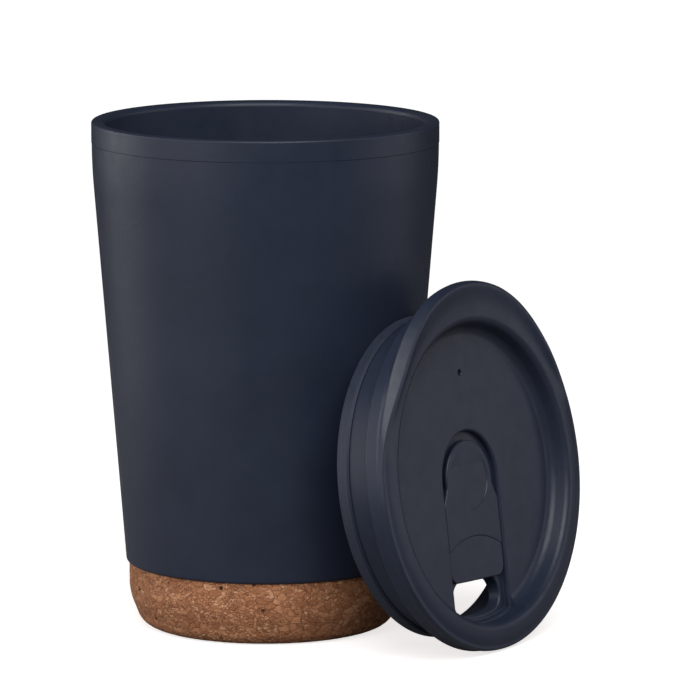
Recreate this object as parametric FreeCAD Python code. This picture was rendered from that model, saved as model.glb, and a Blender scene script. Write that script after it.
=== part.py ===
"""Double-wall travel tumbler with a cork base and a push-in sipping lid.

Millimetres, +Z up. The origin is on the table at the centre of the cork's underside.
The lid stands on its rim beside the cup and leans back on it. Its axis lies in a plane
parallel to XZ, so +X is the way the lid faces. The lid's own pieces are modelled in the
lid's frame (z = 0 where the lid sits on the cup's rim, +z out of its top, +y towards the
pry lip) and then placed.
"""
import FreeCAD, Part
import math
import os

V = FreeCAD.Vector
Z_AXIS = V(0, 0, 1)
ORIGIN = V(0, 0, 0)

# ---- cup, driving dimensions ----
CUP_HEIGHT = 132.2
COLLAR_TOP_R = 45.05
COLLAR_FOOT_R = 44.9
COLLAR_FOOT_Z = 120.5
SEAM_Z = 126.7
SEAM_GAP = 0.06
SEAM_CHAMFER = 0.12
COLLAR_STEP = 0.1
BODY_FOOT_R = 36.5
SHELL_WALL = 1.8
SHELL_FLOOR = 2.0
BODY_EDGE_FILLET = 0.8
RIM_OUTER_FILLET = 0.5
RIM_INNER_FILLET = 1.4

# ---- inner liner ----
MOUTH_R = 41.5
MOUTH_DEPTH = 14.0
LINER_WALL = 1.3
LINER_FLOOR_Z = 21.5
LINER_FLOOR_R = 30.6
LINER_FLOOR_FILLET = 6.0
SPIGOT_GAP = 0.05

# ---- cork base ----
CORK_HEIGHT = 16.9
CORK_R = 35.8
CORK_FOOT_R = 32.3
CORK_SIDE_Z = 8.8
CORK_FOOT_FILLET = 5.0
CORK_SIDE_FILLET = 16.0
PAN_R = 27.0
PAN_DEPTH = 9.4
GLUE_GAP = 0.15

# ---- lid moulding ----
LID_R = 45.5
LID_WALL = 1.7
CREST_R = 41.0
CREST_Z = 6.0
RIM_TOP_Z = 5.2
RIM_EDGE_Z = 4.2
RIM_FOOT_Z = 3.3
RIM_BODY_Z = 3.6
RIM_OVERLAP = 0.6
RIM_STEP = 0.02
RIM_SKIN = 0.1
RIM_SHOULDER = 1.2
RIM_ROUND = 0.9
LIP_ROUND = 0.3
LIP_SIDE_SHARE = 0.3
RIM_EDGE_DROP = 0.3
RIM_TOP_INSET = 0.2
SKIRT_IN_R = 43.7
HOLLOW_TOP_Z = 3.2
RECESS_R = 37.2
RECESS_TOP_R = 38.8
RECESS_FLOOR_Z = 0.9
RECESS_FILLET = 2.6
CREST_FILLET = 2.2
NECK_R = 40.7
NECK_STEP_R = 40.9
NECK_STEP_Z = -5.0
GROOVE_R = 39.3
SEAL_TOP_Z = -8.3
SEAL_BOTTOM_Z = -11.9
PLUG_BOTTOM_Z = -12.6
PLUG_LIP_R = 39.9
PLUG_IN_R = 37.9
PLUG_CHAMFER = 0.8

# ---- pry lip ----
LIP_REACH = 3.6
LIP_TOP_Z = 7.3
LIP_EDGE_Z = 5.0
LIP_FULL_DEG = 17.0
LIP_END_DEG = 68.0
LIP_HIGH_DEG = 46.0
LIP_FADE_DEG = 84.0
LIP_SETBACK = 0.5
LIP_SETBACK_SIDE = 1.7
RIM_SECTIONS = 60

# ---- vent, channel and sip hole ----
VENT_Y = 25.9
VENT_R = 0.8
CHANNEL_HALF = 12.5
CHANNEL_CENTRE_Y = -1.6
CHANNEL_FLOOR_Z = -0.9
CHANNEL_END_R = 37.9
TRAY_WALL = 1.4
TRAY_OVERLAP = 0.3
HOLE_HALF = 10.6
HOLE_TOP_Y = -27.2
HOLE_END_R = 36.4
HOLE_CORNER = 3.8
HOLE_TOP_CORNER = 4.6
HOLE_COLLAR = 1.5
HOLE_DEPTH = 3.7
SLOT_HALF = 2.6

# ---- slider ----
CLOSING_TRAVEL = 8.7
OPENING_TRAVEL = 1.9
SLIDER_GAP_Z = 0.15
SLIDER_TOP_Z = 0.55
SLIDER_STEP = 0.2
SLIDER_HEAD_R = 10.2
SLIDER_HALF = 12.25
SHOULDER_TOP_Y = -3.2
SHOULDER_BOTTOM_Y = -7.4
SLIDER_END_Y = -27.4
SLIDER_END_CORNER = 3.0
CREASE_Y = -16.2
CREASE_R = 24.0
DISH_Y = -0.7
DISH_R = 9.0
DISH_DEPTH = 0.8
DISH_TILT_DEG = 4.0
STEM_HALF_X = 2.4
STEM_TOP_Y = -5.0
STEM_LENGTH = 5.6
STEM_OVERLAP = 0.2
KEEPER_HALF_X = 6.0
KEEPER_HALF_Y = 6.5
KEEPER_THICKNESS = 1.6
KEEPER_GAP = 0.15
KEEPER_CORNER = 2.0
PAD_THICKNESS = 0.5
PAD_TOP_Y = -17.2
PAD_MARGIN = 1.0
PAD_PROUD = 0.07

# ---- silicone seal ----
SEAL_R = 41.4
SEAL_BEAD = 0.25
SEAL_BEADS = 3
BEAD_GROOVE_HALF = 0.05
BEAD_CREST_HALF = 0.32

# ---- where the lid stands ----
LEAN_DEG = 8.8
SPIN_DEG = -2.5
LID_X = 60.5
LID_Y = 3.0
SKIRT_CHAMFER = 0.4

RIM_Z = CUP_HEIGHT
BODY_FOOT_Z = CORK_HEIGHT


def wire_of(points):
    """Closed wire through points given as (a, b) in the XZ plane."""
    return Part.makePolygon([V(a, 0, b) for a, b in points + points[:1]])


def revolved(points):
    """Solid of revolution about Z of a closed (r, z) outline."""
    return Part.Face(wire_of(points)).revolve(ORIGIN, Z_AXIS, 360)


def fillet_circles(solid, radius, where):
    """Round the circular edges whose (radius, height) is in where."""
    chosen = []
    for edge in solid.Edges:
        if not isinstance(edge.Curve, Part.Circle):
            continue
        for r, z in where:
            if abs(edge.Curve.Radius - r) < 0.02 and abs(edge.Curve.Center.z - z) < 0.02:
                chosen.append(edge)
    return solid.makeFillet(radius, chosen)


def prism(points, z_low, z_high):
    """Upright prism on a closed outline of (x, y) points."""
    loop = [V(x, y, z_low) for x, y in points + points[:1]]
    return Part.Face(Part.makePolygon(loop)).extrude(V(0, 0, z_high - z_low))


def box_between(low, high):
    size = [b - a for a, b in zip(low, high)]
    return Part.makeBox(size[0], size[1], size[2], V(*low))


def disc(radius, z_low, z_high, y=0.0):
    return Part.makeCylinder(radius, z_high - z_low, V(0, y, z_low))


def taper_radius(z):
    """Outside radius of the straight tapered body at height z."""
    slope = (COLLAR_FOOT_R - BODY_FOOT_R) / (COLLAR_FOOT_Z - BODY_FOOT_Z)
    return BODY_FOOT_R + slope * (z - BODY_FOOT_Z)


# ---- cup ----

def outer_shell():
    """Tapered outer wall with the upright collar's lower half, and a pan for the cork."""
    top = SEAM_Z - SEAM_GAP
    pan_z = BODY_FOOT_Z - PAN_DEPTH
    spigot_r = MOUTH_R + LINER_WALL + SPIGOT_GAP
    inner_foot_z = BODY_FOOT_Z + SHELL_FLOOR
    outline = [
        (0, pan_z), (PAN_R, pan_z), (PAN_R, BODY_FOOT_Z), (BODY_FOOT_R, BODY_FOOT_Z),
        (COLLAR_FOOT_R, COLLAR_FOOT_Z), (COLLAR_TOP_R - COLLAR_STEP, top - SEAM_CHAMFER),
        (COLLAR_TOP_R - COLLAR_STEP - SEAM_CHAMFER, top), (spigot_r, top),
        (spigot_r, RIM_Z - MOUTH_DEPTH),
        (taper_radius(inner_foot_z) - SHELL_WALL, inner_foot_z),
        (PAN_R - SHELL_WALL, inner_foot_z), (PAN_R - SHELL_WALL, pan_z + SHELL_FLOOR),
        (0, pan_z + SHELL_FLOOR),
    ]
    return fillet_circles(revolved(outline), BODY_EDGE_FILLET, [(BODY_FOOT_R, BODY_FOOT_Z)])


def inner_liner():
    """Drinking cup: straight mouth, tapered bowl, and the rolled collar that caps the shell."""
    mouth_z = RIM_Z - MOUTH_DEPTH
    floor_top = LINER_FLOOR_Z + LINER_WALL
    outline = [
        (0, LINER_FLOOR_Z), (LINER_FLOOR_R + LINER_WALL, LINER_FLOOR_Z),
        (MOUTH_R + LINER_WALL, mouth_z), (MOUTH_R + LINER_WALL, SEAM_Z),
        (COLLAR_TOP_R - SEAM_CHAMFER, SEAM_Z), (COLLAR_TOP_R, SEAM_Z + SEAM_CHAMFER),
        (COLLAR_TOP_R, RIM_Z), (MOUTH_R, RIM_Z), (MOUTH_R, mouth_z),
        (LINER_FLOOR_R, floor_top), (0, floor_top),
    ]
    solid = revolved(outline)
    solid = fillet_circles(solid, RIM_OUTER_FILLET, [(COLLAR_TOP_R, RIM_Z)])
    solid = fillet_circles(solid, RIM_INNER_FILLET, [(MOUTH_R, RIM_Z)])
    return fillet_circles(solid, LINER_FLOOR_FILLET, [(LINER_FLOOR_R, floor_top)])


def cork_base():
    """Turned cork cap glued round the shell's pan, drawn in towards its foot."""
    pocket_r = PAN_R + GLUE_GAP
    pocket_z = CORK_HEIGHT - PAN_DEPTH - GLUE_GAP
    outline = [
        (0, 0), (CORK_FOOT_R, 0), (CORK_R, CORK_SIDE_Z), (CORK_R, CORK_HEIGHT),
        (pocket_r, CORK_HEIGHT), (pocket_r, pocket_z), (0, pocket_z),
    ]
    solid = fillet_circles(revolved(outline), CORK_FOOT_FILLET, [(CORK_FOOT_R, 0)])
    return fillet_circles(solid, CORK_SIDE_FILLET, [(CORK_R, CORK_SIDE_Z)])


# ---- lid ----

def lid_section():
    """Solid of revolution with the lid's recess, neck, seal groove and skirt."""
    floor_under = RECESS_FLOOR_Z - LID_WALL
    outline = [
        (0, floor_under), (PLUG_IN_R, floor_under), (PLUG_IN_R, PLUG_BOTTOM_Z),
        (PLUG_LIP_R - PLUG_CHAMFER, PLUG_BOTTOM_Z), (PLUG_LIP_R, SEAL_BOTTOM_Z),
        (GROOVE_R, SEAL_BOTTOM_Z), (GROOVE_R, SEAL_TOP_Z), (NECK_R, SEAL_TOP_Z),
        (NECK_R, NECK_STEP_Z), (NECK_STEP_R, NECK_STEP_Z), (NECK_STEP_R, HOLLOW_TOP_Z),
        (SKIRT_IN_R, HOLLOW_TOP_Z), (SKIRT_IN_R, 0), (LID_R - SKIRT_CHAMFER, 0),
        (LID_R, SKIRT_CHAMFER), (LID_R, RIM_BODY_Z), (CREST_R, RIM_BODY_Z),
        (CREST_R, CREST_Z), (RECESS_TOP_R, CREST_Z), (RECESS_R, RECESS_FLOOR_Z),
        (0, RECESS_FLOOR_Z),
    ]
    solid = revolved(outline)
    solid = fillet_circles(solid, RECESS_FILLET, [(RECESS_R, RECESS_FLOOR_Z)])
    return fillet_circles(solid, CREST_FILLET, [(RECESS_TOP_R, CREST_Z)])


def smooth(value):
    value = min(1.0, max(0.0, value))
    return value * value * (3 - 2 * value)


def rim_section(degrees):
    """Closed outline of the rim's outer part in the upright plane at an angle from the lip."""
    away = abs(degrees)
    reach = LIP_REACH * smooth((LIP_END_DEG - away) / (LIP_END_DEG - LIP_FULL_DEG))
    raised = smooth((LIP_FADE_DEG - away) / (LIP_FADE_DEG - LIP_HIGH_DEG))
    sideways = smooth(away / LIP_HIGH_DEG)
    setback = raised * (LIP_SETBACK + LIP_SETBACK_SIDE * sideways)
    top_z = RIM_TOP_Z + (LIP_TOP_Z - RIM_TOP_Z) * raised
    edge_z = RIM_EDGE_Z + (LIP_EDGE_Z - RIM_EDGE_Z) * raised
    edge_r = LID_R + RIM_SKIN + reach
    top_r = edge_r - RIM_TOP_INSET - setback
    corner = RIM_ROUND + (LIP_ROUND - RIM_ROUND) * raised
    start_r = CREST_R - RIM_OVERLAP
    start_z = CREST_Z - RIM_STEP
    poles = [
        (start_r, start_z), ((2 * CREST_R + top_r) / 3, start_z),
        (top_r - RIM_SHOULDER, top_z), (top_r - corner, top_z), (top_r, top_z),
        (top_r + LIP_SIDE_SHARE * (edge_r - top_r), top_z + LIP_SIDE_SHARE * (edge_z - top_z)),
        (edge_r, edge_z),
        (edge_r, edge_z - RIM_EDGE_DROP), (LID_R + RIM_SKIN, RIM_BODY_Z + RIM_SKIN),
        (LID_R - RIM_OVERLAP, RIM_FOOT_Z),
    ]
    angle = math.radians(degrees)
    points = [V(r * math.sin(angle), r * math.cos(angle), z) for r, z in poles]
    foot = V(start_r * math.sin(angle), start_r * math.cos(angle), RIM_FOOT_Z)
    curve = Part.BSplineCurve()
    curve.buildFromPoles(points, False, 3)
    return Part.Wire([curve.toShape(), Part.makeLine(points[-1], foot),
                      Part.makeLine(foot, points[0])])


def lid_rim():
    """Outer part of the rim all round, drawn out and up into the pry lip over the vent."""
    step = 360 / RIM_SECTIONS
    sections = [rim_section(step * i - 180) for i in range(RIM_SECTIONS)]
    return Part.makeLoft(sections, True, False, True)


def channel_shape(half, z_low, z_high, end_r):
    """Stadium-shaped column: round at the thumb end, ended by an arc beside the rim."""
    column = disc(half, z_low, z_high, CHANNEL_CENTRE_Y)
    column = column.fuse(box_between(
        (-half, -end_r - 1, z_low), (half, CHANNEL_CENTRE_Y, z_high)))
    return column.common(disc(end_r, z_low, z_high)).removeSplitter()


def sip_hole(z_low, z_high, grow=0.0):
    """Bean-shaped hole: straight towards the slider, an arc parallel to the rim outside."""
    half = HOLE_HALF + grow
    block = box_between((-half, -LID_R, z_low), (half, HOLE_TOP_Y + grow, z_high))
    hole = block.common(disc(HOLE_END_R + grow, z_low, z_high))
    upright = [e for e in hole.Edges
               if abs(e.BoundBox.ZLength - (z_high - z_low)) < 0.01 and e.BoundBox.XLength < 0.01]
    middle_y = (HOLE_TOP_Y - HOLE_END_R) / 2
    top = [e for e in upright if e.BoundBox.YMin > middle_y]
    low = [e for e in upright if e.BoundBox.YMin <= middle_y]
    low_round = hole.makeFillet(HOLE_CORNER + grow, low)
    top_round = hole.makeFillet(HOLE_TOP_CORNER + grow, top)
    return top_round.common(low_round)


def lid_cover():
    """Lid moulding with its pry lip, slider channel, keeper slot, vent and sip hole."""
    solid = lid_section().fuse(lid_rim())
    tray_z = CHANNEL_FLOOR_Z - TRAY_WALL
    tray_end_r = PLUG_IN_R + TRAY_OVERLAP
    tray = channel_shape(CHANNEL_HALF + TRAY_WALL, tray_z, RECESS_FLOOR_Z - TRAY_OVERLAP,
                         tray_end_r)
    solid = solid.fuse(tray)
    collar_z = CHANNEL_FLOOR_Z - HOLE_DEPTH
    collar = sip_hole(collar_z, CHANNEL_FLOOR_Z - TRAY_OVERLAP, HOLE_COLLAR)
    solid = solid.fuse(collar.common(disc(tray_end_r, collar_z, 0)))
    solid = solid.cut(channel_shape(CHANNEL_HALF, CHANNEL_FLOOR_Z, CREST_Z + 2, CHANNEL_END_R))
    solid = solid.cut(sip_hole(collar_z - 1, CHANNEL_FLOOR_Z + 1))
    solid = solid.cut(disc(VENT_R, -3, 3, VENT_Y))
    slot_y = (STEM_TOP_Y - STEM_LENGTH - CLOSING_TRAVEL, STEM_TOP_Y + OPENING_TRAVEL)
    slot = box_between((-SLOT_HALF, slot_y[0], tray_z - 1), (SLOT_HALF, slot_y[1], 0))
    for y in slot_y:
        slot = slot.fuse(disc(SLOT_HALF, tray_z - 1, 0, y))
    return solid.cut(slot).removeSplitter()


def seal_ring():
    """Silicone ring in the plug's groove, with fine beads round it."""
    height = SEAL_TOP_Z - SEAL_BOTTOM_Z
    points = [(GROOVE_R, SEAL_BOTTOM_Z)]
    for i in range(SEAL_BEADS):
        low = SEAL_BOTTOM_Z + height * i / SEAL_BEADS
        high = SEAL_BOTTOM_Z + height * (i + 1) / SEAL_BEADS
        middle = (low + high) / 2
        points += [(SEAL_R - SEAL_BEAD, low + BEAD_GROOVE_HALF), (SEAL_R, middle - BEAD_CREST_HALF)]
        points += [(SEAL_R, middle + BEAD_CREST_HALF), (SEAL_R - SEAL_BEAD, high - BEAD_GROOVE_HALF)]
    points.append((GROOVE_R, SEAL_TOP_Z))
    return revolved(points)


def slider_outline(z_low, z_high):
    """Round head, shoulders that widen to the channel, and a straight end."""
    side = [
        (SLIDER_HEAD_R, CHANNEL_CENTRE_Y), (SLIDER_HEAD_R, SHOULDER_TOP_Y),
        (SLIDER_HALF, SHOULDER_BOTTOM_Y), (SLIDER_HALF, CREASE_Y),
    ]
    mirrored = [(-x, y) for x, y in reversed(side)]
    plate = prism(side + mirrored, z_low, z_high)
    plate = plate.fuse(disc(SLIDER_HEAD_R, z_low, z_high, CHANNEL_CENTRE_Y))
    return plate.fuse(slider_end(z_low, z_high, CREASE_Y, 0)).removeSplitter()


def slider_end(z_low, z_high, top_y, inset):
    """The slider's lower plate, drawn in by inset, with rounded corners at its end."""
    half = SLIDER_HALF - inset
    end_y = SLIDER_END_Y + inset
    plate = box_between((-half, end_y, z_low), (half, top_y, z_high))
    corners = [e for e in plate.Edges
               if e.BoundBox.ZLength > z_high - z_low - 0.01 and e.BoundBox.YMin < end_y + 0.01]
    return plate.makeFillet(SLIDER_END_CORNER - inset, corners)


def thumb_dish():
    """Shallow round dish, deepest where the thumb pushes towards the sip hole."""
    cutter = disc(DISH_R, -DISH_DEPTH / 2, CREST_Z)
    cutter.rotate(ORIGIN, V(1, 0, 0), DISH_TILT_DEG)
    cutter.translate(V(0, DISH_Y, SLIDER_TOP_Z))
    return cutter


def slider():
    """Thumb slider with a round dish, a stepped sealing end and the stem under it."""
    under = CHANNEL_FLOOR_Z + SLIDER_GAP_Z
    solid = slider_outline(under, SLIDER_TOP_Z)
    crease = disc(CREASE_R, SLIDER_TOP_Z - SLIDER_STEP, SLIDER_TOP_Z + 1, CREASE_Y - CREASE_R)
    solid = solid.cut(crease)
    solid = solid.cut(thumb_dish())
    solid = solid.cut(slider_end(under - 1, under + PAD_THICKNESS, PAD_TOP_Y, PAD_MARGIN))
    keeper_top = CHANNEL_FLOOR_Z - TRAY_WALL - KEEPER_GAP
    stem = box_between((-STEM_HALF_X, STEM_TOP_Y - STEM_LENGTH, keeper_top - KEEPER_THICKNESS),
                       (STEM_HALF_X, STEM_TOP_Y, under + STEM_OVERLAP))
    return solid.fuse(stem).removeSplitter()


def slider_pad():
    """Soft pad under the slider's end that covers the sip hole when it is shut."""
    under = CHANNEL_FLOOR_Z + SLIDER_GAP_Z
    return slider_end(under - PAD_PROUD, under + PAD_THICKNESS, PAD_TOP_Y, PAD_MARGIN)


def slider_keeper():
    """Clip on the stem under the tray that holds the slider down."""
    top = CHANNEL_FLOOR_Z - TRAY_WALL - KEEPER_GAP
    middle = STEM_TOP_Y - STEM_LENGTH / 2
    plate = box_between((-KEEPER_HALF_X, middle - KEEPER_HALF_Y, top - KEEPER_THICKNESS),
                        (KEEPER_HALF_X, middle + KEEPER_HALF_Y, top))
    upright = [e for e in plate.Edges if e.BoundBox.ZLength > KEEPER_THICKNESS - 0.01]
    plate = plate.makeFillet(KEEPER_CORNER, upright)
    hole = box_between((-STEM_HALF_X, STEM_TOP_Y - STEM_LENGTH, top - KEEPER_THICKNESS),
                       (STEM_HALF_X, STEM_TOP_Y, top))
    return plate.cut(hole)


def lid_placement():
    """Stand the lid on its rim, turned to face +X and leaning back on the cup."""
    lean = math.radians(LEAN_DEG)
    height = LID_R * math.cos(lean) - SKIRT_CHAMFER * math.sin(lean)
    facing = FreeCAD.Rotation(V(0, 1, 0), V(-math.sin(lean), 0, math.cos(lean)),
                              V(math.cos(lean), 0, math.sin(lean)), "ZXY")
    spin = FreeCAD.Rotation(Z_AXIS, SPIN_DEG)
    return FreeCAD.Placement(V(LID_X, LID_Y, height), facing.multiply(spin))


CUP_PIECES = {"outer_shell": outer_shell, "inner_liner": inner_liner, "cork_base": cork_base}
LID_PIECES = {"lid_cover": lid_cover, "seal_ring": seal_ring, "slider": slider,
              "slider_pad": slider_pad, "slider_keeper": slider_keeper}


def main():
    os.makedirs("parts", exist_ok=True)
    place = lid_placement().toMatrix()
    for name, make in list(CUP_PIECES.items()) + list(LID_PIECES.items()):
        shape = make()
        if name in LID_PIECES:
            shape = shape.transformed(place)
        shape.exportStep("parts/%s.step" % name)
        box = shape.BoundBox
        print(name, shape.isValid(), len(shape.Solids), round(shape.Volume),
              [round(v, 2) for v in (box.XMin, box.YMin, box.ZMin, box.XMax, box.YMax, box.ZMax)])


main()
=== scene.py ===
import bmesh
import bpy
import math
from mathutils import Matrix, Vector, noise


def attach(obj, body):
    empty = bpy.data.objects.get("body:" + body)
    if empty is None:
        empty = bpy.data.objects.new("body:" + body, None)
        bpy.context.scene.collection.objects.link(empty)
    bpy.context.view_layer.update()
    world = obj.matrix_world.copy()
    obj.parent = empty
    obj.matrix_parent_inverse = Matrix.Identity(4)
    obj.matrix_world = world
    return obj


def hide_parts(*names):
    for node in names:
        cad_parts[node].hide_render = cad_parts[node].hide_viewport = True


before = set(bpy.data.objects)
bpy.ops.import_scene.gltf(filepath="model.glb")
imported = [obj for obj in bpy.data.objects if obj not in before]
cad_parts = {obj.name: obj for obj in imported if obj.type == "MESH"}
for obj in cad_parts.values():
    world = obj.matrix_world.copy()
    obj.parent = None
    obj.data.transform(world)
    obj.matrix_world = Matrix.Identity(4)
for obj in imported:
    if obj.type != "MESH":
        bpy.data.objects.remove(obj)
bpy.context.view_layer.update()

MM = 0.001
TAU = 2 * math.pi
scene = bpy.context.scene
scene.view_settings.view_transform = "Standard"

# ---- camera, at the photograph's angle ----
CAMERA_AZIMUTH = 34.0
CAMERA_PITCH = 8.99
CAMERA_SIDE = 21.9
CAMERA_BACK = 1582.6
CAMERA_HEIGHT = 322.3
CAMERA_LENS = 316.7
SENSOR = 36.0
FLOOR_RADIUS = 0.45
LIGHT_AIM_Z = 0.06
LIGHT_DISTANCE = 1.3
LIGHT_SIZE = (1.1, 1.0)

# ---- cup, as in the CAD, in millimetres ----
CUP_HEIGHT = 132.2
COLLAR_TOP_R = 45.05
COLLAR_STEP = 0.1
COLLAR_FOOT_R = 44.9
COLLAR_FOOT_Z = 120.5
SEAM_Z = 126.7
SEAM_GAP = 0.06
SEAM_ROUND = 0.06
COLLAR_BLEND_R = 150.0
BODY_FOOT_R = 36.5
BODY_EDGE_ROUND = 0.8
SHELL_WALL = 1.8
SHELL_FLOOR = 2.0
MOUTH_R = 41.5
MOUTH_DEPTH = 14.0
LINER_WALL = 1.3
LINER_FLOOR_Z = 21.5
LINER_FLOOR_R = 30.6
LINER_FLOOR_ROUND = 6
RIM_OUTER_ROUND = 0.6
RIM_INNER_ROUND = 1.5
SPIGOT_GAP = 0.05
CORK_HEIGHT = 16.9
CORK_R = 35.8
CORK_FOOT_R = 32.3
CORK_SIDE_Z = 8.8
CORK_FOOT_ROUND = 5.0
CORK_SIDE_ROUND = 16.0
PAN_R = 27.0
PAN_DEPTH = 9.4
GLUE_GAP = 0.15

# ---- lid, as in the CAD, in the lid's own frame ----
LID_R = 45.5
CREST_R = 41.0
CREST_Z = 6.0
RIM_TOP_Z = 5.2
RIM_EDGE_Z = 4.2
RIM_FOOT_Z = 3.3
RIM_SKIN = 0.1
RIM_TOP_INSET = 0.2
RIM_SHOULDER = 1.2
RIM_ROUND = 0.9
RIM_EDGE_DROP = 0.3
RIM_START_INSET = 0.6
RIM_TAIL = 0.4
RIM_STEPS = 32
SKIRT_IN_R = 43.7
HOLLOW_TOP_Z = 3.2
RECESS_R = 37.2
RECESS_TOP_R = 38.8
RECESS_ROUND = 2.6
CREST_ROUND = 2.0
CREST_INSET = 0.7
FLOOR_BORDER = 8.0
FLOOR_Z = 0.9
FLOOR_UNDER_Z = -0.8
NECK_R = 40.7
NECK_STEP_R = 40.9
NECK_STEP_Z = -5.0
GROOVE_R = 39.3
SEAL_TOP_Z = -8.3
SEAL_BOTTOM_Z = -11.9
SEAL_R = 41.4
SEAL_FIT = 0.02
SEAL_BEADS = 3
SEAL_BEAD_DEPTH = 0.04
SEAL_END_ROUND = 0.45
SEAL_END_SHARE = 0.14
SEAL_STEPS = 42
PLUG_BOTTOM_Z = -12.6
PLUG_LIP_R = 39.9
PLUG_IN_R = 37.9
LIP_REACH = 3.6
LIP_TOP_Z = 7.3
LIP_EDGE_Z = 5.0
LIP_FULL_DEG = 17.0
LIP_END_DEG = 68.0
LIP_HIGH_DEG = 46.0
LIP_FADE_DEG = 84.0
LIP_SETBACK = 0.5
LIP_SETBACK_SIDE = 1.7
LIP_ROUND = 0.3
LIP_SIDE_SHARE = 0.3
VENT_Y = 25.9
VENT_R = 0.8
CHANNEL_HALF = 12.5
CHANNEL_Y = -1.6
CHANNEL_Z = -0.9
CHANNEL_END_R = 37.9
TRAY_WALL = 1.4
TRAY_OVERLAP = 0.3
HOLE_HALF = 10.6
HOLE_TOP_Y = -27.2
HOLE_END_R = 36.4
HOLE_CORNER = 3.8
HOLE_TOP_CORNER = 4.6
HOLE_DEPTH = 3.7
SLOT_HALF = 2.6
SLOT_Y = (-19.3, -3.1)
LID_SHARP_DEG = 22.8
SLIDER_UNDER_Z = -0.75
SLIDER_TOP_Z = 0.55
SLIDER_STEP = 0.2
SLIDER_HEAD_R = 10.2
SLIDER_HALF = 12.25
SHOULDER_TOP_Y = -3.2
SHOULDER_BOTTOM_Y = -7.4
SLIDER_END_Y = -27.4
SLIDER_END_ROUND = 3.0
SHOULDER_ROUND = 2.5
SLIDER_EDGE = 0.4
CREASE_CORNER = 0.5
CREASE_Y = -16.2
CREASE_R = 24.0
DISH_Y = -0.7
DISH_R = 9.0
DISH_FLOOR = -0.4
DISH_TILT_DEG = 4.0
STEM_HALF_X = 2.4
STEM_Y = (-10.6, -5.0)
STEM_FOOT_Z = -4.05
LEAN_DEG = 8.8
SPIN_DEG = -2.5
LID_X = 60.5
LID_Y = 3.0
SKIRT_CHAMFER = 0.4

SEGMENTS = 288


# ---- outlines ----

def rounded(corners, closed=True, steps=6):
    """Outline through (a, b, radius) corners, each turned on an arc of its radius."""
    points = []
    last = len(corners) - 1
    for i, (a, b, radius) in enumerate(corners):
        if radius == 0 or (not closed and i in (0, last)):
            points.append((a, b))
            continue
        here = Vector((a, b))
        back = (Vector(corners[i - 1][:2]) - here).normalized()
        ahead = (Vector(corners[(i + 1) % len(corners)][:2]) - here).normalized()
        half = back.angle(ahead) / 2
        centre = here + (back + ahead).normalized() * radius / math.sin(half)
        start = here + back * radius / math.tan(half) - centre
        end = here + ahead * radius / math.tan(half) - centre
        first = math.atan2(start.y, start.x)
        turn = (math.atan2(end.y, end.x) - first + math.pi) % TAU - math.pi
        for k in range(steps + 1):
            at = first + turn * k / steps
            points.append((centre.x + radius * math.cos(at), centre.y + radius * math.sin(at)))
    return points


def arc(x, y, radius, first, last, steps=16):
    """Points on an arc about (x, y) between two angles in degrees."""
    points = []
    for k in range(steps + 1):
        at = math.radians(first + (last - first) * k / steps)
        points.append((x + radius * math.cos(at), y + radius * math.sin(at)))
    return points


def grown(outline, distance):
    """A counter-clockwise outline moved outwards by a distance."""
    count = len(outline)
    moved = []
    for i, point in enumerate(outline):
        here = Vector(point)
        before = (here - Vector(outline[i - 1])).normalized()
        after = (Vector(outline[(i + 1) % count]) - here).normalized()
        out = Vector((before.y + after.y, -before.x - after.x)).normalized()
        spread = max(0.5, out.dot(Vector((before.y, -before.x))))
        moved.append(tuple(here + out * distance / spread))
    return moved


def smooth(value):
    value = min(1.0, max(0.0, value))
    return value * value * (3 - 2 * value)


def spline(poles, steps):
    """Points on the clamped uniform cubic B-spline with these poles."""
    spans = len(poles) - 3
    knots = [0] * 3 + list(range(spans + 1)) + [spans] * 3
    points = []
    for k in range(steps + 1):
        at = spans * k / steps
        span = min(int(at), spans - 1) + 3
        work = [Vector(poles[span - 3 + j]) for j in range(4)]
        for level in range(1, 4):
            for j in range(3, level - 1, -1):
                low = knots[span - 3 + j]
                share = (at - low) / (knots[span + 1 + j - level] - low)
                work[j] = work[j - 1] * (1 - share) + work[j] * share
        points.append(tuple(work[3]))
    return points


# ---- meshes ----

def new_object(name, points, faces):
    mesh = bpy.data.meshes.new(name)
    shape = bmesh.new()
    vertices = [shape.verts.new(p) for p in points]
    for face in faces:
        shape.faces.new([vertices[i] for i in face])
    bmesh.ops.recalc_face_normals(shape, faces=shape.faces)
    shape.to_mesh(mesh)
    shape.free()
    ob = bpy.data.objects.new(name, mesh)
    scene.collection.objects.link(ob)
    return ob


def lathe(name, section, segments=SEGMENTS):
    """Closed mesh about z. section(degrees from +y) gives (r, z) points; r 0 is on the axis."""
    count = len(section(0))
    poles = {j: None for j, (r, z) in enumerate(section(0)) if r == 0}
    points = []
    index = []
    for i in range(segments):
        at = TAU * (i + 0.5) / segments
        ring = []
        for j, (r, z) in enumerate(section(math.degrees(at))):
            if j in poles and poles[j] is not None:
                ring.append(poles[j])
                continue
            if j in poles:
                poles[j] = len(points)
            ring.append(len(points))
            points.append((r * math.sin(at), r * math.cos(at), z))
        index.append(ring)
    faces = []
    for i in range(segments):
        here = index[i]
        beside = index[(i + 1) % segments]
        for j in range(count):
            k = (j + 1) % count
            if j in poles and k in poles:
                continue
            if j in poles:
                faces.append((here[j], beside[k], here[k]))
            elif k in poles:
                faces.append((here[j], beside[j], here[k]))
            else:
                faces.append((here[j], beside[j], beside[k], here[k]))
    return new_object(name, points, faces)


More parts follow.
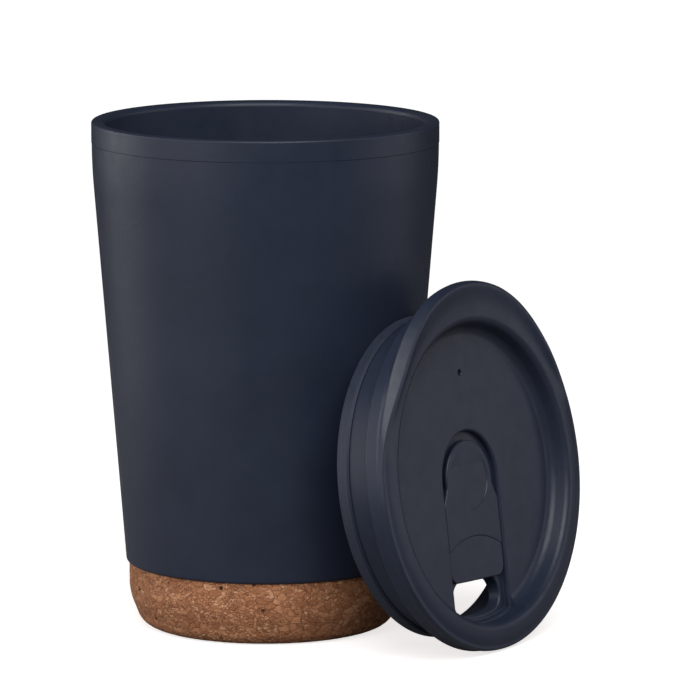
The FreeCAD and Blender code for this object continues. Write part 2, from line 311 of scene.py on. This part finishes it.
def column(name, outline, rings):
    """Closed upright solid: the counter-clockwise outline grown by each ring's (growth, z)."""
    count = len(outline)
    points = []
    for growth, z in rings:
        points += [(x, y, z) for x, y in grown(outline, growth)]
    faces = [tuple(range(count - 1, -1, -1))]
    for k in range(len(rings) - 1):
        base = k * count
        for i in range(count):
            j = (i + 1) % count
            faces.append((base + i, base + j, base + count + j, base + count + i))
    top = (len(rings) - 1) * count
    faces.append(tuple(range(top, top + count)))
    return new_object(name, points, faces)


def combine(ob, other, operation):
    """Boolean of ob with other, which is used up."""
    mod = ob.modifiers.new("boolean", "BOOLEAN")
    mod.object = other
    mod.operation = operation
    mod.solver = "EXACT"
    graph = bpy.context.evaluated_depsgraph_get()
    mesh = bpy.data.meshes.new_from_object(ob.evaluated_get(graph))
    ob.modifiers.clear()
    ob.data = mesh
    bpy.data.objects.remove(other)


def joined(ob, *others):
    """One object with the closed shells of several."""
    points = [v.co.copy() for v in ob.data.vertices]
    faces = [tuple(p.vertices) for p in ob.data.polygons]
    for other in others:
        base = len(points)
        points += [v.co.copy() for v in other.data.vertices]
        faces += [tuple(base + v for v in p.vertices) for p in other.data.polygons]
        bpy.data.objects.remove(other)
    name = ob.name
    bpy.data.objects.remove(ob)
    return new_object(name, points, faces)


def lid_matrix():
    lean = math.radians(LEAN_DEG)
    s = math.sin(lean)
    c = math.cos(lean)
    place = Matrix(((0, -s, c), (1, 0, 0), (0, c, s))).to_4x4()
    height = LID_R * c - SKIRT_CHAMFER * s
    place.translation = Vector((LID_X, LID_Y, height))
    return place @ Matrix.Rotation(math.radians(SPIN_DEG), 4, "Z")


def piece(ob, body, slot, material, *nodes, sharp_deg=24):
    """Metres, shading, material, body and replaced nodes of a finished piece; slot is not used."""
    mesh = ob.data
    mesh.transform(Matrix.Scale(MM, 4))
    mesh.shade_smooth()
    mesh.set_sharp_from_angle(angle=math.radians(sharp_deg))
    mesh.materials.clear()
    mesh.materials.append(material)
    weights = ob.modifiers.new("normals", "WEIGHTED_NORMAL")
    weights.keep_sharp = True
    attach(ob, body)
    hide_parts(*nodes)
    return ob


# ---- materials ----

class Nodes:
    """Short calls for building a material's node tree."""

    def __init__(self, name):
        self.material = bpy.data.materials.new(name)
        self.material.use_nodes = True
        self.tree = self.material.node_tree
        self.shader = self.tree.nodes["Principled BSDF"]
        coords = self.tree.nodes.new("ShaderNodeTexCoord")
        self.place = coords.outputs["Object"]

    def link(self, source, target):
        self.tree.links.new(source, target)

    def add(self, kind, values=None, **settings):
        node = self.tree.nodes.new("ShaderNode" + kind)
        for name, value in settings.items():
            setattr(node, name, value)
        for name, value in (values or {}).items():
            if isinstance(value, bpy.types.NodeSocket):
                self.link(value, node.inputs[name])
            else:
                node.inputs[name].default_value = value
        return node

    def noise(self, scale, detail=3.0, rough=0.5, warp=0.0, place=None):
        node = self.add("TexNoise", {"Vector": place or self.place, "Scale": scale,
                                     "Detail": detail, "Roughness": rough,
                                     "Distortion": warp})
        return node.outputs["Fac"]

    def cells(self, scale, place, feature="F1"):
        return self.add("TexVoronoi", {"Vector": place, "Scale": scale}, feature=feature)

    def spread(self, value, low, high, to_low=0.0, to_high=1.0):
        node = self.add("MapRange", {"Value": value, "From Min": low, "From Max": high,
                                     "To Min": to_low, "To Max": to_high})
        return node.outputs["Result"]

    def maths(self, operation, a, b=0.0):
        node = self.add("Math", {0: a, 1: b}, operation=operation)
        return node.outputs[0]

    def ramp(self, value, *stops):
        node = self.add("ValToRGB", {"Fac": value})
        ramp = node.color_ramp
        while len(ramp.elements) < len(stops):
            ramp.elements.new(0.5)
        for element, (at, colour) in zip(ramp.elements, stops):
            element.position = at
            element.color = (*colour, 1)
        return node.outputs["Color"]

    def mix(self, share, a, b, blend="MIX"):
        node = self.add("Mix", data_type="RGBA", blend_type=blend)
        for socket, value in ((node.inputs[0], share), (node.inputs[6], a), (node.inputs[7], b)):
            if isinstance(value, bpy.types.NodeSocket):
                self.link(value, socket)
            elif isinstance(value, tuple):
                socket.default_value = (*value, 1)
            else:
                socket.default_value = value
        return node.outputs[2]

    def bump(self, height, strength, distance, normal=None):
        values = {"Height": height, "Strength": strength, "Distance": distance}
        if normal:
            values["Normal"] = normal
        return self.add("Bump", values).outputs["Normal"]


def moulded_plastic(name, dark, light, rough, grain):
    """Satin moulded plastic: fine spark-eroded grain, faint cloudiness and rare light scuffs."""
    n = Nodes(name)
    cloud = n.noise(55, 4)
    colour = n.mix(n.spread(cloud, 0.35, 0.65), dark, light)
    streaks = n.add("Mapping", {"Vector": n.place, "Rotation": (0.5, 0.8, 0.3),
                                "Scale": (1.0, 9.0, 1.0)})
    scuff = n.noise(160, 5, 0.65, 0.4, streaks.outputs["Vector"])
    worn = n.spread(scuff, 0.68, 0.8)
    colour = n.mix(n.maths("MULTIPLY", worn, 0.25), colour, tuple(2.2 * c for c in light))
    n.link(colour, n.shader.inputs["Base Color"])
    patches = n.noise(240, 3)
    roughness = n.spread(patches, 0.3, 0.7, rough - 0.04, rough + 0.05)
    roughness = n.maths("ADD", roughness, n.maths("MULTIPLY", worn, 0.12))
    n.link(roughness, n.shader.inputs["Roughness"])
    n.shader.inputs["Specular IOR Level"].default_value = 0.3
    fine = n.noise(3800, 2, 0.6)
    low = n.noise(700, 2)
    normal = n.bump(low, 0.08, 0.0004)
    normal = n.bump(fine, grain, 0.00006, normal)
    n.link(normal, n.shader.inputs["Normal"])
    return n.material


def silicone_rubber(name, dark, light):
    """Soft matt silicone with a dusty bloom."""
    n = Nodes(name)
    bloom = n.noise(420, 5, 0.6)
    colour = n.mix(n.spread(bloom, 0.35, 0.7), dark, light)
    n.link(colour, n.shader.inputs["Base Color"])
    n.link(n.spread(bloom, 0.3, 0.7, 0.5, 0.66), n.shader.inputs["Roughness"])
    n.shader.inputs["Specular IOR Level"].default_value = 0.35
    n.shader.inputs["Sheen Weight"].default_value = 0.03
    normal = n.bump(n.noise(2600, 3), 0.15, 0.00006)
    n.link(normal, n.shader.inputs["Normal"])
    return n.material


def cork_material(name):
    """Pressed cork: chips of several sizes and browns, dark binder lines, fibres, its own dark
    specks, and painted shade that darkens the carved pit hollows on top of their own darker brown.
    """
    n = Nodes(name)
    stretch = n.add("Mapping", {"Vector": n.place, "Scale": (1.0, 1.0, 1.45)})
    bend = n.add("TexNoise", {"Vector": n.place, "Scale": 420, "Detail": 3})
    shift = n.add("VectorMath", {0: bend.outputs["Color"], 1: (0.5, 0.5, 0.5)},
                  operation="SUBTRACT")
    scaled = n.add("VectorMath", {0: shift.outputs[0], "Scale": 0.0026}, operation="SCALE")
    warped = n.add("VectorMath", {0: stretch.outputs[0], 1: scaled.outputs[0]},
                   operation="ADD").outputs[0]
    large = n.cells(CHIPS_LARGE, warped)
    small = n.cells(CHIPS_SMALL, warped)
    tone_large = n.add("SeparateColor", {"Color": large.outputs["Color"]}).outputs[0]
    tone_small = n.add("SeparateColor", {"Color": small.outputs["Color"]}).outputs[1]
    browns = ((0.0, CORK_DARK), (0.3, CORK_BROWN), (0.62, CORK_MID), (0.86, CORK_TAN),
              (1.0, CORK_PALE))
    colour_large = n.ramp(tone_large, *browns)
    colour_small = n.ramp(tone_small, *browns)
    chips = n.spread(n.noise(190, 2), 0.5, 0.58)
    colour = n.mix(chips, colour_small, colour_large)
    colour = n.mix(0.3, colour, CORK_MID)
    mottle = n.noise(2300, 5, 0.7)
    colour = n.mix(0.6, colour, n.ramp(mottle, (0.3, (0.5, 0.46, 0.42)), (0.5, (0.97, 0.96, 0.95)),
                                       (0.72, (1.4, 1.4, 1.35))), "MULTIPLY")
    edge_large = n.cells(CHIPS_LARGE, warped, "DISTANCE_TO_EDGE").outputs["Distance"]
    edge_small = n.cells(CHIPS_SMALL, warped, "DISTANCE_TO_EDGE").outputs["Distance"]
    binder_large = n.spread(edge_large, 0.0, 0.09, 1.0, 0.0)
    binder_small = n.spread(edge_small, 0.0, 0.14, 1.0, 0.0)
    binder = n.maths("MAXIMUM", n.maths("MULTIPLY", binder_large, chips),
                     n.maths("MULTIPLY", binder_small, n.maths("SUBTRACT", 1.0, chips)))
    colour = n.mix(n.maths("MULTIPLY", binder, 0.75), colour, CORK_BINDER)
    fibre_place = n.add("Mapping", {"Vector": warped, "Rotation": (0.4, 0.9, 0.2),
                                    "Scale": (1.0, 5.0, 2.0)})
    fibre = n.noise(900, 4, 0.6, 0.5, fibre_place.outputs["Vector"])
    colour = n.mix(n.spread(fibre, 0.62, 0.74, 0.0, 0.55), colour, CORK_PALE)
    # Painted shade: the carved pit hollows, read from the geometry, are darkened to near black.
    # This is partly the cork's own dark brown and partly shade painted in. The specks are the
    # cork's own dark specks.
    pit_shade = n.add("Attribute", attribute_name="pit").outputs["Fac"]
    specks = n.spread(n.noise(1250, 4, 0.6, 0.8), 0.66, 0.72, 0.0, 0.8)
    dark = n.maths("MAXIMUM", pit_shade, specks)
    colour = n.mix(dark, colour, CORK_SPECK_AND_PIT_SHADE)
    n.link(colour, n.shader.inputs["Base Color"])
    n.link(n.spread(mottle, 0.3, 0.7, 0.72, 0.92), n.shader.inputs["Roughness"])
    n.shader.inputs["Specular IOR Level"].default_value = 0.25
    relief = n.maths("SUBTRACT", n.maths("MULTIPLY", mottle, 0.5),
                     n.maths("MULTIPLY", binder, 0.6))
    normal = n.bump(n.maths("SUBTRACT", relief, dark), 0.7, 0.00025)
    n.link(normal, n.shader.inputs["Normal"])
    return n.material


CHIPS_LARGE = 420
CHIPS_SMALL = 1000
CORK_DARK = (0.22, 0.078, 0.034)
CORK_BROWN = (0.34, 0.137, 0.063)
CORK_MID = (0.43, 0.188, 0.091)
CORK_TAN = (0.54, 0.26, 0.135)
CORK_PALE = (0.66, 0.375, 0.22)
CORK_BINDER = (0.12, 0.045, 0.022)
# Near-black brown of the cork's own dark specks, also used as painted shade in the carved pit
# hollows.
CORK_SPECK_AND_PIT_SHADE = (0.035, 0.014, 0.008)
NAVY_DARK = (0.0132, 0.0180, 0.0345)
NAVY_LIGHT = (0.0162, 0.0214, 0.0403)


# ---- cup pieces ----

def taper_radius(z):
    slope = (COLLAR_FOOT_R - BODY_FOOT_R) / (COLLAR_FOOT_Z - CORK_HEIGHT)
    return BODY_FOOT_R + slope * (z - CORK_HEIGHT)


def shell_piece(material):
    top = SEAM_Z - SEAM_GAP
    pan_z = CORK_HEIGHT - PAN_DEPTH
    spigot_r = MOUTH_R + LINER_WALL + SPIGOT_GAP
    inside_z = CORK_HEIGHT + SHELL_FLOOR
    section = rounded([
        (0, pan_z, 0), (PAN_R, pan_z, 0.6), (PAN_R, CORK_HEIGHT, 0.4),
        (BODY_FOOT_R, CORK_HEIGHT, BODY_EDGE_ROUND), (COLLAR_FOOT_R, COLLAR_FOOT_Z, COLLAR_BLEND_R),
        (COLLAR_TOP_R - COLLAR_STEP, top, SEAM_ROUND), (spigot_r, top, 0.2),
        (spigot_r, CUP_HEIGHT - MOUTH_DEPTH, 0),
        (taper_radius(inside_z) - SHELL_WALL, inside_z, 1.5),
        (PAN_R - SHELL_WALL, inside_z, 0.5), (PAN_R - SHELL_WALL, pan_z + SHELL_FLOOR, 0.5),
        (0, pan_z + SHELL_FLOOR, 0),
    ])
    ob = lathe("shell_skin", lambda degrees: section)
    return piece(ob, "cup", "shell_plastic", material, "outer_shell")


def liner_piece(material):
    mouth_z = CUP_HEIGHT - MOUTH_DEPTH
    floor_top = LINER_FLOOR_Z + LINER_WALL
    section = rounded([
        (0, LINER_FLOOR_Z, 0), (LINER_FLOOR_R + LINER_WALL, LINER_FLOOR_Z, 2.0),
        (MOUTH_R + LINER_WALL, mouth_z, 3), (MOUTH_R + LINER_WALL, SEAM_Z, 0),
        (COLLAR_TOP_R, SEAM_Z, SEAM_ROUND), (COLLAR_TOP_R, CUP_HEIGHT, RIM_OUTER_ROUND),
        (MOUTH_R, CUP_HEIGHT, RIM_INNER_ROUND), (MOUTH_R, mouth_z, 3),
        (LINER_FLOOR_R, floor_top, LINER_FLOOR_ROUND), (0, floor_top, 0),
    ], steps=8)
    ob = lathe("liner_skin", lambda degrees: section)
    return piece(ob, "cup", "liner_plastic", material, "inner_liner")


CORK_SEGMENTS = 880
CORK_STEP = 0.3
CORK_BEVEL = 0.3
RELIEF_FADE = 3.0
PLAIN_BORDER = 4.0
PIT_CELL = 2.6
PIT_SHARE = 0.16
PIT_DEPTH = 0.5
CHIP_SIZE = 2.3
CHIP_SQUASH = 1.4


def cork_relief(point):
    """(depth below the turned surface, pit share) of the cork at a point, in millimetres. The pit
    share also marks where the material paints shade.
    """
    chips = noise.voronoi(Vector((point.x, point.y, CHIP_SQUASH * point.z)) / CHIP_SIZE)[0]
    groove = smooth(1 - (chips[1] - chips[0]) / 0.16)
    grain = noise.fractal(point / 0.8, 0.7, 2.1, 3)
    depth = 0.035 + 0.05 * groove + 0.035 * grain
    distances, cells = noise.voronoi(point / PIT_CELL)
    chance = 0.5 + 0.5 * noise.cell(cells[0] * 37.0)
    wobble = 0.14 * noise.noise(point / 0.45)
    size = 0.14 + 0.16 * (chance / PIT_SHARE if chance < PIT_SHARE else 0)
    pit = smooth((size - distances[0] - wobble) / 0.1) if chance < PIT_SHARE else 0.0
    return max(0.0, depth) + PIT_DEPTH * pit, pit


def resampled(points, step):
    """Points about a step apart along a polyline, with both its ends."""
    spots = [Vector(p) for p in points]
    runs = [(b - a).length for a, b in zip(spots, spots[1:])]
    count = round(sum(runs) / step)
    even = []
    run = 0
    before = 0.0
    for k in range(count + 1):
        at = sum(runs) * k / count
        while run < len(runs) - 1 and at > before + runs[run]:
            before += runs[run]
            run += 1
        even.append(tuple(spots[run].lerp(spots[run + 1], (at - before) / runs[run])))
    return even


def cork_piece(material):
    foot_r = CORK_FOOT_R - CORK_FOOT_ROUND
    bevel_z = CORK_HEIGHT - CORK_BEVEL
    outer = resampled(rounded([
        (foot_r, 0, 0), (CORK_FOOT_R, 0, CORK_FOOT_ROUND), (CORK_R, CORK_SIDE_Z, CORK_SIDE_ROUND),
        (CORK_R, bevel_z, 0)], False, 16), CORK_STEP)
    pocket_r = PAN_R + GLUE_GAP
    pocket_z = CORK_HEIGHT - PAN_DEPTH - GLUE_GAP
    section = [(0, 0), (8, 0), (16, 0), (foot_r - RELIEF_FADE, 0)] + outer
    section += [(CORK_R - 0.1, CORK_HEIGHT - 0.08), (CORK_R - 0.35, CORK_HEIGHT),
                (pocket_r + PLAIN_BORDER, CORK_HEIGHT), (pocket_r, CORK_HEIGHT),
                (pocket_r, pocket_z), (0, pocket_z)]
    ob = lathe("cork_skin", lambda degrees: section, CORK_SEGMENTS)
    mesh = ob.data
    pit = mesh.attributes.new("pit", "FLOAT", "POINT")
    inward = [-vertex.normal for vertex in mesh.vertices]
    for i, vertex in enumerate(mesh.vertices):
        point = vertex.co.copy()
        radius = math.hypot(point.x, point.y)
        if radius < foot_r or radius < pocket_r + PLAIN_BORDER + 0.5 and point.z > CORK_SIDE_Z:
            continue
        edge = smooth((radius - foot_r) / RELIEF_FADE)
        edge *= smooth((CORK_HEIGHT - point.z) / CORK_BEVEL + 0.25)
        depth, pit_shade_share = cork_relief(point)
        vertex.co = point + inward[i] * depth * edge
        # The pit share is kept for the material, which paints shade into the pit hollows.
        pit.data[i].value = pit_shade_share * edge
    return piece(ob, "cup", "cork", material, "cork_base", sharp_deg=60)


# ---- lid pieces, made in the lid's frame ----

def lid_section(degrees):
    """Outline of the lid moulding at an angle from the pry lip's middle."""
    away = abs((degrees + 180) % 360 - 180)
    reach = LIP_REACH * smooth((LIP_END_DEG - away) / (LIP_END_DEG - LIP_FULL_DEG))
    raised = smooth((LIP_FADE_DEG - away) / (LIP_FADE_DEG - LIP_HIGH_DEG))
    setback = raised * (LIP_SETBACK + LIP_SETBACK_SIDE * smooth(away / LIP_HIGH_DEG))
    top_z = RIM_TOP_Z + (LIP_TOP_Z - RIM_TOP_Z) * raised
    edge_z = RIM_EDGE_Z + (LIP_EDGE_Z - RIM_EDGE_Z) * raised
    edge_r = LID_R + RIM_SKIN + reach
    top_r = edge_r - RIM_TOP_INSET - setback
    corner = RIM_ROUND + (LIP_ROUND - RIM_ROUND) * raised
    rim = spline([
        (CREST_R - RIM_START_INSET, CREST_Z), ((2 * CREST_R + top_r) / 3, CREST_Z),
        (top_r - RIM_SHOULDER, top_z), (top_r - corner, top_z), (top_r, top_z),
        ((1 - LIP_SIDE_SHARE) * top_r + LIP_SIDE_SHARE * edge_r,
         (1 - LIP_SIDE_SHARE) * top_z + LIP_SIDE_SHARE * edge_z),
        (edge_r, edge_z), (edge_r, edge_z - RIM_EDGE_DROP),
        (LID_R + RIM_SKIN, RIM_FOOT_Z + RIM_TAIL), (LID_R, RIM_FOOT_Z),
    ], RIM_STEPS)
    inside = rounded([
        (0, FLOOR_Z, 0), (RECESS_R - FLOOR_BORDER, FLOOR_Z, 0),
        (RECESS_R, FLOOR_Z, RECESS_ROUND), (RECESS_TOP_R, CREST_Z, CREST_ROUND),
        (CREST_R - CREST_INSET, CREST_Z, 0),
    ], False, 9)
    under = rounded([
        (LID_R, RIM_FOOT_Z - 0.2, 0), (LID_R, 0, 0.4), (SKIRT_IN_R, 0, 0.3),
        (SKIRT_IN_R, HOLLOW_TOP_Z, 0.5), (NECK_STEP_R, HOLLOW_TOP_Z, 0.6),
        (NECK_STEP_R, NECK_STEP_Z, 0.08), (NECK_R, NECK_STEP_Z, 0.08),
        (NECK_R, SEAL_TOP_Z, 0.25), (GROOVE_R, SEAL_TOP_Z, 0), (GROOVE_R, SEAL_BOTTOM_Z, 0),
        (PLUG_LIP_R, SEAL_BOTTOM_Z, 0.12), (PLUG_LIP_R, PLUG_BOTTOM_Z, 0.5),
        (PLUG_IN_R, PLUG_BOTTOM_Z, 0.5), (PLUG_IN_R, FLOOR_UNDER_Z, 1.0), (0, FLOOR_UNDER_Z, 0),
    ], False, 4)
    return inside + rim + under


def channel_outline(half, end_r):
    turn = math.degrees(math.asin(half / end_r))
    return arc(0, CHANNEL_Y, half, 0, 180, 48) + arc(0, 0, end_r, -90 - turn, -90 + turn, 20)


def hole_outline():
    side = HOLE_HALF - HOLE_CORNER
    reach = HOLE_END_R - HOLE_CORNER
    low = -math.sqrt(reach * reach - side * side)
    top_side = HOLE_HALF - HOLE_TOP_CORNER
    high = HOLE_TOP_Y - HOLE_TOP_CORNER
    turn = math.degrees(math.asin(side / reach))
    return (arc(top_side, high, HOLE_TOP_CORNER, 0, 90, 12)
            + arc(-top_side, high, HOLE_TOP_CORNER, 90, 180, 12)
            + arc(-side, low, HOLE_CORNER, 180, 270 - turn, 10)
            + arc(0, 0, HOLE_END_R, 270 - turn, 270 + turn, 12)[1:-1]
            + arc(side, low, HOLE_CORNER, 270 + turn, 360, 10))


def lid_piece(material):
    ob = lathe("lid_skin", lid_section)
    tray = column("tray", channel_outline(CHANNEL_HALF + TRAY_WALL, PLUG_IN_R + TRAY_OVERLAP),
                  [(-0.5, -2.3), (-0.15, -2.15), (0, -1.8), (0, 0.4)])
    combine(ob, tray, "UNION")
    foot = CHANNEL_Z - HOLE_DEPTH
    collar = column("collar", hole_outline(), [(1.2, foot), (1.55, foot + 0.15),
                                               (1.7, foot + 0.5), (1.7, CHANNEL_Z - 0.4)])
    combine(ob, collar, "UNION")
    channel = column("channel", channel_outline(CHANNEL_HALF, CHANNEL_END_R), [
        (-0.3, CHANNEL_Z), (-0.09, CHANNEL_Z + 0.09), (0, CHANNEL_Z + 0.3), (0, 0.2),
        (0.04, 0.43), (0.15, 0.63), (0.31, 0.78), (0.65, 0.925), (0.7, 8)])
    combine(ob, channel, "DIFFERENCE")
    hole = column("hole", hole_outline(), [
        (0.5, foot - 1), (0.5, foot - 0.02), (0.15, foot + 0.15), (0, foot + 0.5),
        (0, CHANNEL_Z - 0.6), (0.08, CHANNEL_Z - 0.3), (0.25, CHANNEL_Z - 0.1),
        (0.6, CHANNEL_Z + 0.02), (0.6, 2)])
    combine(ob, hole, "DIFFERENCE")
    slot = column("slot", arc(0, SLOT_Y[1], SLOT_HALF, 0, 180, 12)
                  + arc(0, SLOT_Y[0], SLOT_HALF, 180, 360, 12),
                  [(0.2, -4), (0.2, -2.32), (0, -2.1), (0, -0.5)])
    combine(ob, slot, "DIFFERENCE")
    vent = column("vent", arc(0, VENT_Y, VENT_R, 0, 345, 23),
                  [(0, -3), (0, FLOOR_Z - 0.25), (0.15, FLOOR_Z + 0.02), (0.15, 3)])
    combine(ob, vent, "DIFFERENCE")
    ob.data.transform(lid_matrix())
    return piece(ob, "lid", "lid_plastic", material, "lid_cover", sharp_deg=LID_SHARP_DEG)


def seal_section():
    """Band with shallow beads and rounded ends."""
    low = SEAL_BOTTOM_Z + SEAL_FIT
    height = SEAL_TOP_Z - SEAL_BOTTOM_Z - 2 * SEAL_FIT
    points = [(GROOVE_R + SEAL_FIT, low + height), (GROOVE_R + SEAL_FIT, low)]
    for k in range(SEAL_STEPS + 1):
        at = k / SEAL_STEPS
        bead = SEAL_BEAD_DEPTH * (1 - abs(math.sin(SEAL_BEADS * math.pi * at)))
        end = SEAL_END_ROUND * (1 - smooth(min(at, 1 - at) / SEAL_END_SHARE))
        points.append((SEAL_R - bead - end, low + height * at))
    return points


def seal_piece(material):
    section = seal_section()
    ob = lathe("seal_skin", lambda degrees: section)
    ob.data.transform(lid_matrix())
    return piece(ob, "lid", "silicone", material, "seal_ring")


def slider_side(x_sign, end_y, end_round):
    """One side's corners from the head down to the end, as (x, y, radius)."""
    return [(x_sign * SLIDER_HEAD_R, SHOULDER_TOP_Y, SHOULDER_ROUND),
            (x_sign * SLIDER_HALF, SHOULDER_BOTTOM_Y, SHOULDER_ROUND),
            (x_sign * SLIDER_HALF, end_y, end_round)]


def slider_outline(end, end_y, end_round):
    """Head, shoulders and sides, closed by the end's points, left to right (none: straight)."""
    head = [(x, y, 0) for x, y in arc(0, CHANNEL_Y, SLIDER_HEAD_R, 0, 180, 48)]
    left = slider_side(-1, end_y, end_round)
    right = slider_side(1, end_y, end_round)[::-1]
    return rounded(head + left + [(x, y, 0) for x, y in end] + right, steps=5)


def plate_rings(top, edge):
    """Rings of a plate with a rounded top edge and a small chamfer below."""
    rings = [(-0.15, SLIDER_UNDER_Z), (0, SLIDER_UNDER_Z + 0.15)]
    for k in range(6):
        at = math.pi / 2 * k / 5
        rings.append((edge * (math.cos(at) - 1), top - edge + edge * math.sin(at)))
    return rings


def slider_piece(material):
    low = column("slider_skin", slider_outline([], SLIDER_END_Y, SLIDER_END_ROUND),
                 plate_rings(SLIDER_TOP_Z - SLIDER_STEP, SLIDER_EDGE))
    crease_centre = CREASE_Y - CREASE_R
    crease_turn = math.degrees(math.asin(SLIDER_HALF / CREASE_R))
    crease_side = crease_centre + CREASE_R * math.cos(math.radians(crease_turn))
    crease = arc(0, crease_centre, CREASE_R, 90 + crease_turn, 90 - crease_turn, 14)[1:-1]
    high = column("slider_head", slider_outline(crease, crease_side, CREASE_CORNER),
                  plate_rings(SLIDER_TOP_Z, SLIDER_EDGE))
    dish = lathe("dish", lambda degrees: rounded([
        (0, DISH_FLOOR, 0), (DISH_R - 0.4, DISH_FLOOR, 1.2), (DISH_R + 0.3, CREST_Z, 0),
        (0, CREST_Z, 0)], False), 144)
    dish.data.transform(Matrix.Translation((0, DISH_Y, SLIDER_TOP_Z))
                        @ Matrix.Rotation(math.radians(DISH_TILT_DEG), 4, "X"))
    combine(high, dish, "DIFFERENCE")
    stem_corners = [(x, y, 0.5) for x, y in ((STEM_HALF_X, STEM_Y[0]), (STEM_HALF_X, STEM_Y[1]),
                                             (-STEM_HALF_X, STEM_Y[1]),
                                             (-STEM_HALF_X, STEM_Y[0]))]
    stem = column("stem", rounded(stem_corners), [(-0.2, STEM_FOOT_Z), (0, STEM_FOOT_Z + 0.2),
                                                  (0, SLIDER_UNDER_Z + 0.4)])
    ob = joined(low, high, stem)
    ob.data.transform(lid_matrix())
    return piece(ob, "slider", "slider_plastic", material, "slider")


# ---- stage ----

def make_camera():
    turn = math.radians(CAMERA_AZIMUTH)
    data = bpy.data.cameras.new("camera")
    data.lens = CAMERA_LENS
    data.sensor_width = SENSOR
    cam = bpy.data.objects.new("camera", data)
    scene.collection.objects.link(cam)
    cam.location = (
        (CAMERA_SIDE * math.cos(turn) + CAMERA_BACK * math.sin(turn)) * MM,
        (CAMERA_SIDE * math.sin(turn) - CAMERA_BACK * math.cos(turn)) * MM,
        CAMERA_HEIGHT * MM,
    )
    cam.rotation_euler = (math.radians(90 - CAMERA_PITCH), 0, turn)
    scene.camera = cam


def aim(ob, azimuth, elevation):
    """Put a light on a sphere about the cup, pointing at its middle."""
    a = math.radians(azimuth)
    e = math.radians(elevation)
    away = Vector((math.sin(a) * math.cos(e), -math.cos(a) * math.cos(e), math.sin(e)))
    ob.location = away * LIGHT_DISTANCE + Vector((0, 0, LIGHT_AIM_Z))
    ob.rotation_euler = (-away).to_track_quat("-Z", "Y").to_euler()


def softbox(name, azimuth, elevation, power):
    """Square-cornered lamp at an azimuth from the camera's own."""
    data = bpy.data.lights.new(name, "AREA")
    data.shape = "RECTANGLE"
    data.size, data.size_y = LIGHT_SIZE
    data.energy = power
    ob = bpy.data.objects.new(name, data)
    scene.collection.objects.link(ob)
    aim(ob, CAMERA_AZIMUTH + azimuth, elevation)


def make_world(seen, lit):
    """White where the camera sees it, with little of its own light on the object."""
    world = bpy.data.worlds.new("studio")
    scene.world = world
    world.use_nodes = True
    tree = world.node_tree
    strength = tree.nodes.new("ShaderNodeMapRange")
    strength.inputs["To Min"].default_value = lit
    strength.inputs["To Max"].default_value = seen
    ray = tree.nodes.new("ShaderNodeLightPath").outputs["Is Camera Ray"]
    tree.links.new(ray, strength.inputs["Value"])
    background = tree.nodes["Background"]
    background.inputs["Color"].default_value = (1, 1, 1, 1)
    tree.links.new(strength.outputs["Result"], background.inputs["Strength"])


def make_floor(glow, seen, lit):
    """Pale matt floor, lit from within like a light table, so that shadows on it stay faint."""
    n = Nodes("floor")
    ray = n.add("LightPath").outputs["Is Camera Ray"]
    n.link(n.mix(ray, (lit, lit, lit), (seen, seen, seen)), n.shader.inputs["Base Color"])
    n.shader.inputs["Emission Color"].default_value = (*glow, 1)
    n.link(ray, n.shader.inputs["Emission Strength"])
    n.shader.inputs["Roughness"].default_value = 0.9
    n.shader.inputs["Specular IOR Level"].default_value = 0.0
    rim = [(x, y, 0) for x, y in arc(0, 0, FLOOR_RADIUS, 0, 357.5, 143)]
    floor = new_object("floor", rim, [tuple(range(len(rim)))])
    floor.data.materials.append(n.material)


make_camera()
body_navy = moulded_plastic("navy_body", NAVY_DARK, NAVY_LIGHT, 0.42, 0.25)
lid_navy = moulded_plastic("navy_lid", NAVY_DARK, NAVY_LIGHT, 0.40, 0.18)
silicone = silicone_rubber("navy_silicone", NAVY_DARK, NAVY_LIGHT)
shell_piece(body_navy)
liner_piece(body_navy)
cork_piece(cork_material("cork"))
lid_piece(lid_navy)
seal_piece(silicone)
slider_piece(lid_navy)
for name, material in (("slider_pad", silicone), ("slider_keeper", lid_navy)):
    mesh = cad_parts[name].data
    mesh.materials.clear()
    mesh.materials.append(material)

make_world(1.05, 0.04)
make_floor((0.76, 0.74, 0.73), 0.6, 0.25)
softbox("left", -104, 12, 8.8)
softbox("front_left", -48, 12, 6.3)
softbox("front_top", 10, 45, 19.0)
softbox("right", 90, 12, 3.8)
